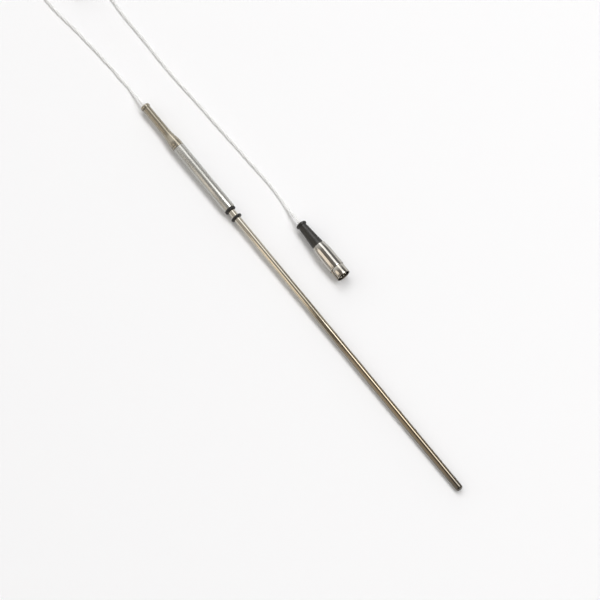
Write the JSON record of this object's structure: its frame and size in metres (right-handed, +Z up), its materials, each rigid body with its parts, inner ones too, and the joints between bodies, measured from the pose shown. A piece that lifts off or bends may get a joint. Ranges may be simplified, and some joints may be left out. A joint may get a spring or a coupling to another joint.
{
  "type": "platinum resistance thermometer",
  "caption": "Slim closed metal sheath with rubber rings on a turned handle with a waisted tail; a thin pale lead runs to a round instrument plug with a black boot.",
  "frame": {"origin": "on the surface the part lies on, under the middle of the probe's length", "axes": "+X along the probe towards its tip, +Z up, +Y towards the side where the plug lies"},
  "size_m": [0.6069, 0.0603, 0.0142],
  "materials": {
    "sheath_metal": "drawn and ground",
    "handle_metal": "satin turned",
    "tail_metal": "satin turned, warm nickel tone",
    "ring_rubber": "matte",
    "element_ceramic": "unglazed",
    "platinum": "drawn wire",
    "lead_wire": "silver plated",
    "cement": "cast",
    "epoxy": "cast",
    "crimp_metal": "plain",
    "shrink": "matte",
    "core_white": "extruded",
    "bush_white": "turned",
    "bush_brass": "turned",
    "jacket": "extruded",
    "tie_nylon": "moulded",
    "boot_rubber": "matte moulded",
    "plug_nickel": "bright nickel plate",
    "shell_nickel": "bright nickel plate, stamped",
    "insulator_black": "moulded",
    "pin_silver": "silver plated"
  },
  "bodies": {
    "probe": {"sheath": "sheath_metal", "tip_cap": "sheath_metal", "tip_packing": "cement", "sensor_former": "element_ceramic", "sensor_winding": "platinum", "sheath_seal": "epoxy", "o_ring_rear": "ring_rubber", "barrel": "handle_metal", "nose_bush": "bush_brass", "potting": "epoxy", "joint_ring": "tail_metal", "tail_cone": "tail_metal", "tail_cap": "tail_metal", "cable_bush": "bush_white", "cable_ferrule": "crimp_metal", "insulator_1": "element_ceramic", "insulator_2": "element_ceramic", "insulator_3": "element_ceramic", "insulator_4": "element_ceramic", "inner_wire_1": "lead_wire", "splice_crimp_1": "crimp_metal", "shrink_sleeve_1": "shrink", "handle_core_1": "core_white", "inner_wire_2": "lead_wire", "splice_crimp_2": "crimp_metal", "shrink_sleeve_2": "shrink", "handle_core_2": "core_white", "inner_wire_3": "lead_wire", "splice_crimp_3": "crimp_metal", "shrink_sleeve_3": "shrink", "handle_core_3": "core_white", "inner_wire_4": "lead_wire", "splice_crimp_4": "crimp_metal", "shrink_sleeve_4": "shrink", "handle_core_4": "core_white", "lead_probe_run": "jacket", "lead_coil": "jacket", "coil_tie": "tie_nylon", "lead_plug_run": "jacket", "plug_sleeve": "plug_nickel", "plug_shell_key": "shell_nickel", "plug_shell_latch": "shell_nickel", "plug_insulator": "insulator_black", "plug_boot": "boot_rubber", "plug_cable_clamp": "shell_nickel", "plug_pin_1": "pin_silver", "plug_pin_2": "pin_silver", "plug_pin_3": "pin_silver", "plug_pin_4": "pin_silver", "plug_pin_5": "pin_silver", "plug_core_1": "core_white", "plug_core_2": "core_white", "plug_core_3": "core_white", "plug_core_4": "core_white"},
    "depth_ring": {"o_ring_front": "ring_rubber"}
  },
  "joints": [
    {"name": "depth_ring_slide", "type": "slide", "parent": "probe", "child": "depth_ring", "axis": [1, 0, -0.0068], "range_m": [-0.0066, 0.315]}
  ]
}
